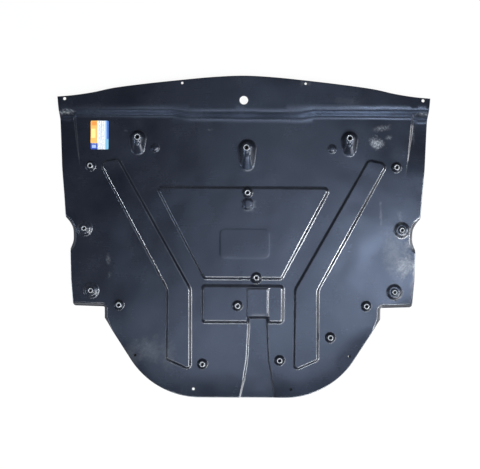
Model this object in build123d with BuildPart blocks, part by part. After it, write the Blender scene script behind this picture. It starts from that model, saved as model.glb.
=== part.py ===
from build123d import *
from math import atan, cos, degrees, hypot, pi, sin
import os

# Splash shield under an engine: one formed sheet of plastic, lying engine side up.
# X runs across the car, Y to the front, Z up; millimetres; X and Y are measured from the middle.

# The sheet
SKIN = 3.0            # wall thickness everywhere
BODY = 11.0           # upper face of the flat body
EDGE_DROP = 8.0       # side flanges and rolled edges lie this far below the body
LOW = BODY - EDGE_DROP
FLANGE_RISE = 12.0    # the front flange lies this far above the body
ROLL_SLOPE = 0.84     # how far a rolled edge runs in for each mm it climbs

# Outline, right half, front to rear
FRONT_EDGE = [(0, 450), (84, 446), (173, 437.5), (280, 425.5), (363, 414), (420, 401.5), (475, 393)]
FRONT_CORNER = (520.3, 389)
SIDE_EDGE = [(514.5, 327), (507.5, 191.5), (500.5, 109), (496.5, 53)]
SIDE_NOTCH = [(496.5, 53), (485, 39), (476.8, 22), (475, 0), (475.8, -14), (480.5, -28), (483, -34)]
WING = [(480.5, -120), (474, -194.5), (387, -197), (386.5, -229), (314.5, -341.5)]
REAR_ARC_MID = (231.2, -420.7)
REAR_ARC_END = (120, -450)

# Front wall: where its top edge runs, at the sides and in the middle, and how far out it comes
STEP_SIDE, STEP_MID = 353.0, 348.0
STEP_SIDE_SLOPE, STEP_MID_SLOPE = 13 / 12, 18 / 12
STEP_BEND_OUT, STEP_BEND_IN = 205.0, 150.0

# The forms run on past the trimmed edge, and down below the sheet
OVERSIZE = FRONT_CORNER[0] + 80
DEPTH = 30.0

# Foot of the body's own wall, right side: along the side fold, round the side notch and along the wing
BODY_FOOT = [(482.6, 400), (466, 211), (464, 190), (OVERSIZE, 190), (OVERSIZE, 80), (505, 58), (483.4, 38.2),
             (475, 21.5), (473, 0), (473.8, -14.8), (478.6, -30), (520, -60), (OVERSIZE, -60),
             (OVERSIZE, -189), (385, -195), (384.5, -229), (371, -264), (390, -300),
             (OVERSIZE, -300), (OVERSIZE, -OVERSIZE)]
BODY_ROUND = [0, 0, 8, 0, 0, 20, 14, 25, 25, 14, 10, 0, 0, 0, 8, 12, 12, 0, 0, 0]

# Side flange: level at the front, then a ramp up to the body; RAMP_X lies inside the body's wall
RAMP_START, RAMP_END, RAMP_ROUND, RAMP_RUN_ON = 300.0, 190.0, 150.0, 60.0
RAMP_X = 440.0

# V-shaped rib, foot outline half way up the wall, right side
RIB = [(350, 217), (402, 206), (210.5, -147.5), (211, -343), (145.5, -372), (146.7, -145.5)]
RIB_ROUND = [12, 14, 26, 9, 9, 30]
RIB_HEIGHT, RIB_RUN = 8.0, 9.0

# Middle panel, small panel behind it, and the step on the small panel
PANEL = [(242.5, 138), (108.4, -116)]
PANEL_HEIGHT, PANEL_RUN, PANEL_ROUND = 6.0, 10.0, 10.0
PAD = (5.0, -18.5, 138.0, 81.0, 14.0, 0.8)
PAD_SLOPE = 1.2
SINK = 1.0            # the pad starts this far inside the panel
SMALL_X, SMALL_FRONT, SMALL_REAR, SMALL_ROUND = 111.3, -138.0, -236.7, 12.0
SMALL_SLOPE = 1.5
RAISED = (11.0, 72.5, -133.5, -236.0)
RAISED_HEIGHT = 8.5

# Channel open at the rear edge: floor outline and wall slope
CHANNEL_DEPTH, CHANNEL_SLOPE = 5.5, 1.1
CHANNEL = [(21, -228), (66, -228), (66.5, -246), (72, -344), (81.7, -400), (90, -447), (97, -490),
           (-8, -490), (-3.7, -447), (6.4, -400), (15, -344), (20, -246)]

# Tall teardrop bosses: x, nose y, tail y, foot radii, top radii, height
DROPS = [(10.2, 248.0, 208.3, 25.4, 20.0, 12.0, 8.0, 24.0),
         (-296.5, 274.0, 248.0, 23.4, 19.0, 11.5, 8.0, 22.0),
         (296.5, 274.0, 248.0, 23.4, 19.0, 11.5, 8.0, 22.0)]
DROP_LEAN, DROP_TOP_LENGTH = 2.5, 9.0    # the top's nose lies this far forward, and its tail this far behind it
DROP_HOLES = [(8.1, 248.8), (-295.5, 276.5), (295.5, 276.5)]
DROP_HOLE_R = 5.0

# Conical bosses: x, y, how far above the body the ground is there
CONES = [(428, 197, 0), (-428, 197, 0), (11.8, 124, 6), (37.9, -113, 6), (-14.2, -192, 6),
         (346, -191.5, 0), (-346, -191.5, 0), (245.7, -279.7, 0), (-111.5, -355.7, 0), (104.2, -344.5, 0)]
CONE_FOOT, CONE_TOP, CONE_HEIGHT, CONE_HOLE_R = 14.5, 8.0, 12.0, 3.7

# Stepped bosses near the side edges
STEPPED = [(444, 21.7), (-444, 21.7), (424.5, -151.7), (-424.5, -151.7)]
STEP_FOOT, STEP_SHOULDER_R, STEP_TOP_R = 21.5, 15.5, 7.5
STEP_INNER_R = 13.0
STEP_SHOULDER_Z, STEP_TOP_Z, STEP_HOLE_R = 6.0, 12.0, 3.4

# Low buttons and one long low bump
BUTTONS = [(248, 248), (-248, 248)]
BUTTON_R, BUTTON_TOP_R, BUTTON_HEIGHT = 12.0, 8.5, 5.0
BUMP = (13.4, 92.4, 28.0, 33.0, 4.0)
BUMP_ROUND, BUMP_SLOPE = 12.0, 1.0

# Plain holes: x, y, radius
HOLES = [(499.7, 383, 4.3), (-499.7, 383, 4.3), (172, 428.6, 3.4), (-172, 428.6, 3.4), (0, 381.5, 12.0),
         (300.2, -332.6, 4.0), (-300.2, -332.6, 4.0), (136.4, -426.2, 4.0), (-136.4, -426.2, 4.0)]

# Paper label stuck on the body
LABEL = (-403.0, 283.0, 50.0, 80.0, 0.3)

# The teardrops, and the hollows under all the bosses, have flat sides, this many all round
DROP_SIDES = 28
HOLLOW_SIDES = 14


def draw_in(slope, skin):
    """How far the inner wall's foot lies inside the outer wall's foot, for an even thickness."""
    return skin * (hypot(1, slope) - slope)


def outline_of(points, rounds):
    """Closed polygon with each corner rounded by its own radius, or left sharp where that is 0."""
    with BuildSketch() as shape:
        with BuildLine():
            Polyline(*points, close=True)
        make_face()
        for point, radius in zip(points, rounds):
            if radius:
                fillet(shape.vertices().sort_by_distance(Vector(*point))[0], radius)
    return shape.sketch


def block(shape, foot, height, slope, skin):
    """Drafted block standing on the height foot; with a skin it is the hollow under that block."""
    with BuildPart() as solid:
        with BuildSketch(Plane.XY.offset(foot - skin)):
            add(shape)
            if skin:
                offset(amount=-draw_in(slope, skin))
        extrude(amount=height, taper=degrees(atan(slope)))
    return solid.part


def frustum(x, y, foot_radius, top_radius, height, skin):
    """Round boss standing on the body; with a skin, the flat-sided hollow under it."""
    inward = draw_in((foot_radius - top_radius) / height, skin)
    if not skin:
        return Pos(x, y, BODY) * Cone(foot_radius, top_radius, height, align=(Align.CENTER, Align.CENTER, Align.MIN))
    with BuildPart() as solid:
        with BuildSketch(Plane.XY.offset(BODY - skin)):
            RegularPolygon(foot_radius - inward, HOLLOW_SIDES)
        extrude(amount=height, taper=degrees(atan((foot_radius - top_radius) / height)))
    return Pos(x, y, 0) * solid.part


def drop_outline(x, nose, tail, nose_r, tail_r, z, sides):
    """Corners of a teardrop seen from above: a wide round nose and a narrower round tail."""
    turns = [2 * pi * step / sides for step in range(sides // 2 + 1)]
    front = [Vector(x + nose_r * cos(turn), nose + nose_r * sin(turn), z) for turn in turns]
    rear = [Vector(x - tail_r * cos(turn), tail - tail_r * sin(turn), z) for turn in turns]
    return front + rear


def flat_sided(low, high):
    """Solid between two outlines with the same number of corners."""
    faces = [Face(Wire.make_polygon(low[::-1])), Face(Wire.make_polygon(high))]
    for index in range(len(low)):
        a, b = low[index - 1], low[index]
        c, d = high[index], high[index - 1]
        if (b - a).cross(c - d).length < 1e-6:
            faces.append(Face(Wire.make_polygon([a, b, c, d])))
        else:
            faces.append(Face(Wire.make_polygon([a, b, c])))
            faces.append(Face(Wire.make_polygon([a, c, d])))
    return Solid(Shell(faces))


def teardrop(x, nose, tail, nose_r, tail_r, top_r, top_tail_r, height, skin):
    """Tall boss with its top at the nose and a long slope down to the tail."""
    sides = HOLLOW_SIDES if skin else DROP_SIDES
    top_nose = nose + DROP_LEAN
    top_tail = top_nose - DROP_TOP_LENGTH
    nose_in = draw_in((nose_r - top_r) / height, skin)
    tail_in = draw_in((top_tail - top_tail_r - tail + tail_r) / height, skin)
    low = drop_outline(x, nose, tail, nose_r - nose_in, tail_r - tail_in, BODY - skin, sides)
    high = drop_outline(x, top_nose, top_tail, top_r - nose_in, top_tail_r - tail_in, BODY + height - skin, sides)
    return flat_sided(low, high)


def front_wall_outline(z, skin):
    """Front flange seen from above at height z, with the wall coming out as it goes down."""
    down = BODY + FLANGE_RISE - skin - z
    side = STEP_SIDE - STEP_SIDE_SLOPE * down + draw_in(STEP_SIDE_SLOPE, skin)
    middle = STEP_MID - STEP_MID_SLOPE * down + draw_in(STEP_MID_SLOPE, skin)
    half = (STEP_BEND_OUT + STEP_BEND_IN) / 2
    with BuildSketch(Plane.XY.offset(z)) as shape:
        with BuildLine():
            Line((-OVERSIZE, side), (-STEP_BEND_OUT, side))
            Bezier((-STEP_BEND_OUT, side), (-half, side), (-half, middle), (-STEP_BEND_IN, middle))
            Line((-STEP_BEND_IN, middle), (STEP_BEND_IN, middle))
            Bezier((STEP_BEND_IN, middle), (half, middle), (half, side), (STEP_BEND_OUT, side))
            Line((STEP_BEND_OUT, side), (OVERSIZE, side))
            Line((OVERSIZE, side), (OVERSIZE, OVERSIZE))
            Line((OVERSIZE, OVERSIZE), (-OVERSIZE, OVERSIZE))
            Line((-OVERSIZE, OVERSIZE), (-OVERSIZE, side))
        make_face()
    return shape.sketch


def body_outline():
    """Foot of the body's own wall all round, outside the sheet where the body runs on to the edge."""
    left = [(-x, y) for x, y in BODY_FOOT]
    return outline_of(BODY_FOOT[::-1] + left, BODY_ROUND[::-1] + BODY_ROUND)


def ramp(side, skin):
    """Wedge under one side flange: low at the front, level with the body at RAMP_END."""
    front, rear = RAMP_START + RAMP_RUN_ON, RAMP_END - RAMP_RUN_ON
    with BuildPart() as solid:
        with BuildSketch(Plane.YZ.offset(RAMP_X * side)) as profile:
            with BuildLine():
                Polyline((front, -DEPTH), (front, LOW - skin), (RAMP_START, LOW - skin), (RAMP_END, BODY - skin),
                         (rear, BODY - skin), (rear, -DEPTH), close=True)
            make_face()
            for y, z in ((RAMP_START, LOW - skin), (RAMP_END, BODY - skin)):
                fillet(profile.vertices().sort_by_distance(Vector(y, z))[0], RAMP_ROUND)
        extrude(amount=(OVERSIZE - RAMP_X) * side)
    return solid.part


def form(skin):
    """Everything below the sheet's upper face, or below its lower face when given the thickness."""
    rib_slope = RIB_RUN / RIB_HEIGHT
    panel_slope = PANEL_RUN / PANEL_HEIGHT
    with BuildPart() as solid:
        with Locations((0, 0, LOW - skin)):
            Box(2 * OVERSIZE, 2 * OVERSIZE, DEPTH, align=(Align.CENTER, Align.CENTER, Align.MAX))
        add(block(body_outline(), LOW, EDGE_DROP, ROLL_SLOPE, skin))
        for side in (1, -1):
            add(ramp(side, skin))
        loft(sections=[front_wall_outline(LOW - skin, skin), front_wall_outline(BODY + FLANGE_RISE - skin, skin)],
             ruled=True)

        # Ribs
        with BuildSketch() as rib:
            add(outline_of(RIB, RIB_ROUND))
            offset(amount=RIB_RUN / 2)
        add(block(rib.sketch, BODY, RIB_HEIGHT, rib_slope, skin))
        add(block(mirror(rib.sketch, about=Plane.YZ), BODY, RIB_HEIGHT, rib_slope, skin))

        # Panels
        (front_x, front_y), (rear_x, rear_y) = PANEL
        with BuildSketch() as panel:
            add(outline_of([(-front_x, front_y), (front_x, front_y), (rear_x, rear_y), (-rear_x, rear_y)],
                           [PANEL_ROUND] * 4))
            offset(amount=PANEL_RUN / 2)
        add(block(panel.sketch, BODY, PANEL_HEIGHT, panel_slope, skin))
        x, y, width, depth, corner, height = PAD
        with BuildSketch() as pad:
            with Locations((x, y)):
                RectangleRounded(width, depth, corner)
        if not skin:
            add(block(pad.sketch, BODY + PANEL_HEIGHT - SINK, height + SINK, PAD_SLOPE, skin))
        reach = SMALL_SLOPE * PANEL_HEIGHT / 2
        with BuildSketch() as small:
            with Locations((0, (SMALL_FRONT + SMALL_REAR) / 2)):
                RectangleRounded(2 * (SMALL_X + reach), SMALL_FRONT - SMALL_REAR + 2 * reach, SMALL_ROUND)
        add(block(small.sketch, BODY, PANEL_HEIGHT, SMALL_SLOPE, skin))
        left, right, front, rear = RAISED
        reach = SMALL_SLOPE * PANEL_HEIGHT
        with BuildSketch() as raised:
            with Locations(((left + right) / 2, (front + rear) / 2)):
                Rectangle(right - left + 2 * reach, front - rear)
        add(block(raised.sketch, BODY, RAISED_HEIGHT, SMALL_SLOPE, skin))

        # Low shapes
        for x, y in BUTTONS:
            add(frustum(x, y, BUTTON_R, BUTTON_TOP_R, BUTTON_HEIGHT, skin))
        x, y, width, depth, height = BUMP
        with BuildSketch() as bump:
            with Locations((x, y)):
                RectangleRounded(width, depth, BUMP_ROUND)
        if not skin:
            add(block(bump.sketch, BODY + PANEL_HEIGHT, height, BUMP_SLOPE, skin))

        # Bosses
        for drop in DROPS:
            add(teardrop(*drop, skin))
        cone_slope = (CONE_FOOT - CONE_TOP) / CONE_HEIGHT
        for x, y, ground in CONES:
            rise = CONE_HEIGHT + ground - (SINK if ground else 0)
            foot_radius = CONE_FOOT + cone_slope * ground
            add(frustum(x, y, foot_radius, foot_radius - cone_slope * rise, rise, skin))
        for x, y in STEPPED:
            add(frustum(x, y, STEP_FOOT, STEP_SHOULDER_R, STEP_SHOULDER_Z, skin))
            add(frustum(x, y, STEP_INNER_R, STEP_TOP_R, STEP_TOP_Z, skin))

        # Channel, cut from above all the other shapes
        with BuildSketch(Plane.XY.offset(BODY - CHANNEL_DEPTH - skin)) as channel:
            with BuildLine():
                Polyline(*CHANNEL, close=True)
            make_face()
            if skin:
                offset(amount=draw_in(CHANNEL_SLOPE, skin), kind=Kind.INTERSECTION)
        extrude(channel.sketch, amount=DEPTH, taper=-degrees(atan(CHANNEL_SLOPE)), mode=Mode.SUBTRACT)
    return solid.part


def sheet_outline():
    """The trimmed edge of the sheet."""
    with BuildSketch() as shape:
        with BuildLine():
            front = [FRONT_CORNER] + FRONT_EDGE[::-1] + [(-x, y) for x, y in FRONT_EDGE[1:] + [FRONT_CORNER]]
            Spline(*front)
            for side in (1, -1):
                edge = [(side * x, y) for x, y in [FRONT_CORNER] + SIDE_EDGE]
                Polyline(*edge)
                Spline(*[(side * x, y) for x, y in SIDE_NOTCH])
                Polyline(*[(side * x, y) for x, y in [SIDE_NOTCH[-1]] + WING])
                ThreePointArc((side * WING[-1][0], WING[-1][1]), (side * REAR_ARC_MID[0], REAR_ARC_MID[1]),
                              (side * REAR_ARC_END[0], REAR_ARC_END[1]))
            Line(REAR_ARC_END, (-REAR_ARC_END[0], REAR_ARC_END[1]))
        make_face()
        for side in (1, -1):
            for (x, y), radius in ((FRONT_CORNER, 3), (WING[1], 7), (WING[2], 4), (WING[3], 6)):
                fillet(shape.vertices().sort_by_distance(Vector(side * x, y))[0], radius)
    return shape.sketch


with BuildPart() as splash_shield:
    # Form the sheet
    add(form(0.0))
    add(form(SKIN), mode=Mode.SUBTRACT)
    # Trim it
    extrude(sheet_outline(), amount=2 * DEPTH, both=True, mode=Mode.INTERSECT)
    # Drill it
    holes = HOLES + [(x, y, DROP_HOLE_R) for x, y in DROP_HOLES]
    holes += [(x, y, CONE_HOLE_R) for x, y, ground in CONES] + [(x, y, STEP_HOLE_R) for x, y in STEPPED]
    for x, y, radius in holes:
        with Locations((x, y, 0)):
            Cylinder(radius, 4 * DEPTH, mode=Mode.SUBTRACT)

with BuildPart() as label:
    x, y, width, depth, thickness = LABEL
    with Locations((x, y, BODY)):
        Box(width, depth, thickness, align=(Align.CENTER, Align.CENTER, Align.MIN))

os.makedirs("parts", exist_ok=True)
splash_shield.part.label = "splash_shield"
export_step(splash_shield.part, "parts/splash_shield.step")
label.part.label = "label"
export_step(label.part, "parts/label.step")
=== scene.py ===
"""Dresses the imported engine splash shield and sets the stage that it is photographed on."""

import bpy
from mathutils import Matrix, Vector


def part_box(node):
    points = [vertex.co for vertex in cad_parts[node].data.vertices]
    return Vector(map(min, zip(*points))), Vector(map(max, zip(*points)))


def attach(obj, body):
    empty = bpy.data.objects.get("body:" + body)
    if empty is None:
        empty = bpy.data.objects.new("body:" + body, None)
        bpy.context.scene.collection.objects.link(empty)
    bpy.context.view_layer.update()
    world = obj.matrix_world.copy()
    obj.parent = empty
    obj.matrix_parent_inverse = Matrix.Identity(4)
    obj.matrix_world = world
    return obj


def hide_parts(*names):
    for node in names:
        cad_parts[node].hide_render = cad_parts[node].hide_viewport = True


bl_info = {
    "name": "Engine Splash Shield",
    "version": (1, 0, 0),
    "blender": (4, 5, 0),
    "location": "View3D > Sidebar > Shield",
    "description": "Forms the moulded sheet of an engine splash shield, finishes it and sets its stage",
    "category": "Object",
}

from math import atan2, ceil, cos, degrees, pi, radians, sin

import bpy
import numpy as np
from bpy.props import FloatProperty, FloatVectorProperty, PointerProperty
from mathutils import Vector
from mathutils.geometry import delaunay_2d_cdt

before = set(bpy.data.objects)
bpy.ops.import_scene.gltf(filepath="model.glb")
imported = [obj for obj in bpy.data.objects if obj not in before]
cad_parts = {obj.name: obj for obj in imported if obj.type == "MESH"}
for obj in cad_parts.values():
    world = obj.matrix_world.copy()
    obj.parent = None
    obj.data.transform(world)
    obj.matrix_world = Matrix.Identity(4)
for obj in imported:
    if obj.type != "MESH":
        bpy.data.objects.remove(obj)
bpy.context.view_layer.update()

MM = 0.001
SHEET_NODE = "splash_shield"
LABEL_NODE = "label"

# Plan of the sheet, right half, front to rear, in millimetres from its middle
FRONT_EDGE = [(0, 450), (84, 446), (173, 437.5), (280, 425.5), (363, 414), (420, 401.5), (475, 393),
              (520, 389)]
SIDE_EDGE = [(514.5, 327), (507.5, 191.5), (500.5, 109), (496.5, 53)]
SIDE_NOTCH = [(485, 39), (476.8, 22), (475, 0), (475.8, -14), (480.5, -28), (483, -34)]
WING = [(480.5, -120), (474, -194.5), (387, -197), (386.5, -229), (314.5, -341.5)]
WING_ROUNDS = [0, 7, 4, 6, 0]
REAR_ARC = [(314.5, -341.5), (231.2, -420.7), (120, -450)]

# The body's own foot: along the side folds and the rolled edges, outside the sheet elsewhere
BODY_FOOT = [(482.6, 400), (466, 211), (462, 150), (600, 150), (600, 80), (505, 58), (483.4, 38.2),
             (475, 21.5), (473, 0), (473.8, -14.8), (478.6, -30), (520, -60), (600, -60), (600, -189),
             (385, -195), (384.5, -229), (371, -264), (390, -300), (600, -300), (600, -600)]
BODY_FOOT_ROUNDS = [0, 0, 8, 0, 0, 20, 14, 25, 25, 14, 10, 0, 0, 0, 8, 12, 12, 0, 0, 0]
ROLL_SLOPE = 0.84
EDGE_ROUND = 1.5

# Front wall, side ramps, ribs, panels and channel. A slope is how far a wall comes out for each mm it falls.
WALL_BEND = (150.0, 205.0)
WALL_TOP = (348.0, 353.0)
WALL_SLOPE = (16.5 / 12, 13 / 12)
WALL_BLEND = 9.5
RAMP = (300.0, 190.0)
RIB = [(350, 217), (402, 206), (210.5, -147.5), (211, -343), (145.5, -372), (146.7, -145.5)]
RIB_ROUNDS = [12, 14, 26, 9, 9, 30]
RIB_RUN, PANEL_RUN = 5.6, 5.8
PANEL = [(-242.5, 138), (242.5, 138), (108.4, -116), (-108.4, -116)]
PAD, PAD_HEIGHT, PAD_RUN = (5.0, -18.5, 138.0, 81.0), 0.35, 4
SMALL_PANEL = (0.0, -187.35, 231.6, 107.7)
RAISED_STEP = (41.75, -184.75, 69.3, 92.3)
SMALL_SLOPE, STEP_SLOPE = 1.0, 0.8
CHANNEL_FLOOR = [(21, -150), (66, -150), (66.5, -246), (72, -344), (81.7, -400), (90, -447), (97, -490),
                 (-8, -490), (-3.7, -447), (6.4, -400), (15, -344), (20, -246)]
CHANNEL_SLOPE, CHANNEL_HEAD, HEAD_SLOPE = 0.7, -228.0, 0.45

# Teardrop bosses: x, nose y, tail y, foot radii, top radii, height; a top's nose leans forward
DROPS = [(10.2, 248.0, 208.3, 25.4, 20.0, 12.0, 8.0, 24.0),
         (-296.5, 274.0, 248.0, 23.4, 19.0, 11.5, 8.0, 22.0),
         (296.5, 274.0, 248.0, 23.4, 19.0, 11.5, 8.0, 22.0)]
DROP_LEAN, DROP_TOP_LENGTH = 2.5, 9.0
DROP_HOLES = [(8.1, 248.8), (-295.5, 276.5), (295.5, 276.5)]

# Conical bosses: x, y, height of the ground over the body there; those on a panel sink in a little
CONES = [(428, 197, 0), (-428, 197, 0), (11.8, 124, 6), (37.9, -113, 6), (-14.2, -192, 6), (346, -191.5, 0),
         (-346, -191.5, 0), (245.7, -279.7, 0), (-111.5, -355.7, 0), (104.2, -344.5, 0)]
CONE_FOOT, CONE_TOP, CONE_HEIGHT, CONE_SINK = 14.5, 8.0, 12.0, 1
CONE_SPREAD = (CONE_FOOT - CONE_TOP) / CONE_HEIGHT

# Stepped bosses, low buttons, one low bump and the plain holes: x, y and a hole's radius
STEPPED = [(444, 21.7), (-444, 21.7), (424.5, -151.7), (-424.5, -151.7)]
STEPPED_FOOT, STEPPED_SHOULDER = 21.5, 6.0
STEPPED_INNER, STEPPED_INNER_RUN, STEPPED_HEIGHT = 13.0, 5.5, 12.0
BUTTONS = [(248, 248), (-248, 248)]
BUTTON_FOOT, BUTTON_RUN, BUTTON_HEIGHT = 12.0, 3.5, 5.0
BUMP, BUMP_HEIGHT = (13.4, 92.4, 28.0, 33.0), 4.0
PLAIN_HOLES = [(499.7, 383, 4.3), (-499.7, 383, 4.3), (172, 428.6, 3.4), (-172, 428.6, 3.4),
               (0, 381.5, 12.0), (300.2, -332.6, 4.0), (-300.2, -332.6, 4.0), (136.4, -426.2, 4.0),
               (-136.4, -426.2, 4.0)]
DROP_HOLE_R, CONE_HOLE_R, STEPPED_HOLE_R = 5.0, 3.7, 3.4
DISH, DISH_WIDTH, STEPPED_DISH_WIDTH = 1.0, 1.9, 1.6

# Rims around the screw holes painted pale as a highlight on their crests: middle radius for each hole radius,
# and width
RIM_HIGHLIGHTS, RIM_HIGHLIGHT_WIDTH = {CONE_HOLE_R: 6.3, STEPPED_HOLE_R: 5.6, DROP_HOLE_R: 7.3}, 0.55

# How strongly a bend counts in the masks of ridges, hollows and gloss
BEND_GAIN = 2.2

# Where the glossy bends and the left rib's rubbed ridge face, in degrees from the right, and where the dull
# front wall starts
LIT_FACING, RUBBED_FACING, FRONT_WALL_FROM = -50, -152, 318
LABEL_PLACE = (-403, 283)
CREASE_ANGLE = 0.9

# The label over the sheet, its curled corner, its slight waves and its thickness, in metres
LABEL_LIFT, LABEL_CURL, LABEL_WAVE, PAPER = 0.00022, 0.0009, 0.00008, 0.0002


# Plan geometry

def rounded_loop(points, rounds, step=12.0):
    """Closed polygon as an array of points, each corner turned into an arc of its own radius."""
    pts = np.array(points, float)
    made = []
    for index, radius in enumerate(rounds):
        before, here, after = pts[index - 1], pts[index], pts[(index + 1) % len(pts)]
        if not radius:
            made.append(here)
            continue
        back = (before - here) / np.linalg.norm(before - here)
        on = (after - here) / np.linalg.norm(after - here)
        half = 0.5 * np.arccos(np.clip(back @ on, -1, 1))
        reach = radius / np.tan(half)
        middle = here + (back + on) / np.linalg.norm(back + on) * (radius / sin(half))
        start, end = here + back * reach - middle, here + on * reach - middle
        a0 = atan2(start[1], start[0])
        turn = (atan2(end[1], end[0]) - a0 + pi) % (2 * pi) - pi
        count = max(2, ceil(abs(degrees(turn)) / step))
        for share in np.linspace(0, 1, count + 1):
            angle = a0 + turn * share
            made.append(middle + radius * np.array([cos(angle), sin(angle)]))
    return np.array(made)


def box_loop(x, y, width, depth, corner, step=15.0):
    """Rectangle with rounded corners, centred on x, y."""
    corners = [(x - width / 2, y - depth / 2), (x + width / 2, y - depth / 2),
               (x + width / 2, y + depth / 2), (x - width / 2, y + depth / 2)]
    return rounded_loop(corners, [corner] * 4, step)


def mirrored(points):
    return [(-x, y) for x, y in points][::-1]


def densify(line, spacing, closed=True):
    """Adds points so that no stretch is longer than spacing."""
    ends = np.roll(line, -1, axis=0) if closed else line[1:]
    made = []
    for a, b in zip(line, ends):
        count = max(1, ceil(np.linalg.norm(b - a) / spacing))
        made += [a + (b - a) * k / count for k in range(count)]
    if not closed:
        made.append(line[-1])
    return np.array(made)


def smooth_through(points, spacing):
    """Catmull-Rom curve through the points, sampled at about the spacing."""
    p = np.array(points, float)
    p = np.vstack([2 * p[0] - p[1], p, 2 * p[-1] - p[-2]])
    made = []
    for k in range(1, len(p) - 2):
        count = max(2, ceil(np.linalg.norm(p[k + 1] - p[k]) / spacing))
        for t in np.linspace(0, 1, count, endpoint=False):
            made.append(0.5 * (2 * p[k] + (p[k + 1] - p[k - 1]) * t
                               + (2 * p[k - 1] - 5 * p[k] + 4 * p[k + 1] - p[k + 2]) * t * t
                               + (3 * p[k] - p[k - 1] - 3 * p[k + 1] + p[k + 2]) * t ** 3))
    made.append(p[-2])
    return np.array(made)


def arc_through(a, b, c, count):
    """Points along the circle through three points, from a to c."""
    a, b, c = complex(*a), complex(*b), complex(*c)
    share = (c - a) / (b - a)
    middle = a + (b - a) * (share - abs(share) ** 2) / (2j * share.imag)
    turn = np.angle((c - middle) / (a - middle)) * np.linspace(0, 1, count)
    made = middle + (a - middle) * np.exp(1j * turn)
    return np.c_[made.real, made.imag]


def sheet_loop():
    """The trimmed edge of the whole sheet, anticlockwise."""
    front = smooth_through(mirrored(FRONT_EDGE)[:-1] + FRONT_EDGE, 12.0)
    notch = smooth_through([SIDE_EDGE[-1]] + SIDE_NOTCH, 4.0)
    wing = rounded_loop([SIDE_NOTCH[-1]] + WING, [0] + WING_ROUNDS)
    rear = arc_through(*REAR_ARC, 24)
    half = np.vstack([front[len(front) // 2:], SIDE_EDGE, notch[1:], wing[1:], rear[1:]])
    loop = np.vstack([half, (half * [-1, 1])[::-1][:-1]])
    loop[:, 1] = np.maximum(loop[:, 1], REAR_ARC[-1][1])
    return loop[::-1]


def circle(x, y, radius, count):
    turn = np.arange(count) / count * 2 * pi
    return np.c_[x + radius * np.cos(turn), y + radius * np.sin(turn)]


def inside_distance(loop, at):
    """Distance from each point to a closed loop, positive inside it."""
    a, b = loop, np.roll(loop, -1, axis=0)
    edge = b - a
    length2 = (edge ** 2).sum(axis=1) + 1e-12
    made = np.empty(len(at))
    for start in range(0, len(at), 4096):
        p = at[start:start + 4096, None, :]
        share = np.clip(((p - a) * edge).sum(axis=2) / length2, 0, 1)
        gap = p - a - share[..., None] * edge
        near = np.sqrt((gap ** 2).sum(axis=2)).min(axis=1)
        above = (a[:, 1] > p[..., 1]) != (b[:, 1] > p[..., 1])
        rise = np.where(edge[:, 1] == 0, 1e-12, edge[:, 1])
        left = p[..., 0] < edge[:, 0] * (p[..., 1] - a[:, 1]) / rise + a[:, 0]
        made[start:start + 4096] = np.where((above & left).sum(axis=1) % 2 == 1, near, -near)
    return made


def offset_loop(loop, out, spacing):
    """The loop moved outwards by out, without the points that a tight corner folds over."""
    dense = densify(loop, spacing)
    along = np.roll(dense, -1, axis=0) - np.roll(dense, 1, axis=0)
    along /= np.linalg.norm(along, axis=1)[:, None] + 1e-12
    area = (dense[:, 0] * np.roll(dense[:, 1], -1) - dense[:, 1] * np.roll(dense[:, 0], -1)).sum()
    normal = np.c_[along[:, 1], -along[:, 0]] * (1 if area > 0 else -1)
    moved = dense + normal * out
    keep = abs(inside_distance(loop, moved) + out) < 0.35
    return moved[keep]


def soft_max(a, b, blend):
    return np.maximum(a, b) + np.maximum(blend - abs(a - b), 0) ** 2 / (4 * blend)


def soft_min(a, b, blend):
    return -soft_max(-a, -b, blend)


def drop_sizes(drop, level):
    """A teardrop boss at a share of its height: x, nose y, tail y, nose and tail radius."""
    x, nose, tail, nose_r, tail_r, top_r, top_tail_r, _ = drop
    return (x, nose + DROP_LEAN * level, tail + (nose + DROP_LEAN - DROP_TOP_LENGTH - tail) * level,
            nose_r + (top_r - nose_r) * level, tail_r + (top_tail_r - tail_r) * level)


def drop_loop(drop, level, count=16):
    """Outline of a teardrop boss at a share of its height."""
    x, nose, tail, nose_r, tail_r = drop_sizes(drop, level)
    lean = np.arcsin((nose_r - tail_r) / (nose - tail))
    front = np.linspace(-lean, pi + lean, 2 * count)
    rear = np.linspace(pi + lean, 2 * pi - lean, count)
    return np.vstack([np.c_[x + nose_r * np.cos(front), nose + nose_r * np.sin(front)],
                      np.c_[x + tail_r * np.cos(rear), tail + tail_r * np.sin(rear)]])


def drop_inside(at, drop, level):
    """Distance inside a teardrop outline, with its own level for each point."""
    x, nose, tail, nose_r, tail_r = drop_sizes(drop, level)
    px, py, long = abs(at[:, 0] - x), nose - at[:, 1], nose - tail
    lean = np.clip((nose_r - tail_r) / long, -0.99, 0.99)
    across = np.sqrt(1 - lean ** 2)
    side = across * py - lean * px
    out = np.where(side < 0, np.hypot(px, py) - nose_r, across * px + lean * py - nose_r)
    return -np.where(side > across * long, np.hypot(px, py - long) - tail_r, out)


def drop_rise(at, drop):
    """Height of a teardrop boss over the body, carried on below its foot and above its top."""
    made = np.full(len(at), -12.0)
    near = np.hypot(at[:, 0] - drop[0], at[:, 1] - drop[1] + 12) < 75
    low, high = np.full(near.sum(), -0.6), np.full(near.sum(), 1.4)
    for _ in range(20):
        middle = (low + high) / 2
        within = drop_inside(at[near], drop, middle) > 0
        low, high = np.where(within, middle, low), np.where(within, high, middle)
    made[near] = drop[7] * (low + high) / 2
    return made


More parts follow.
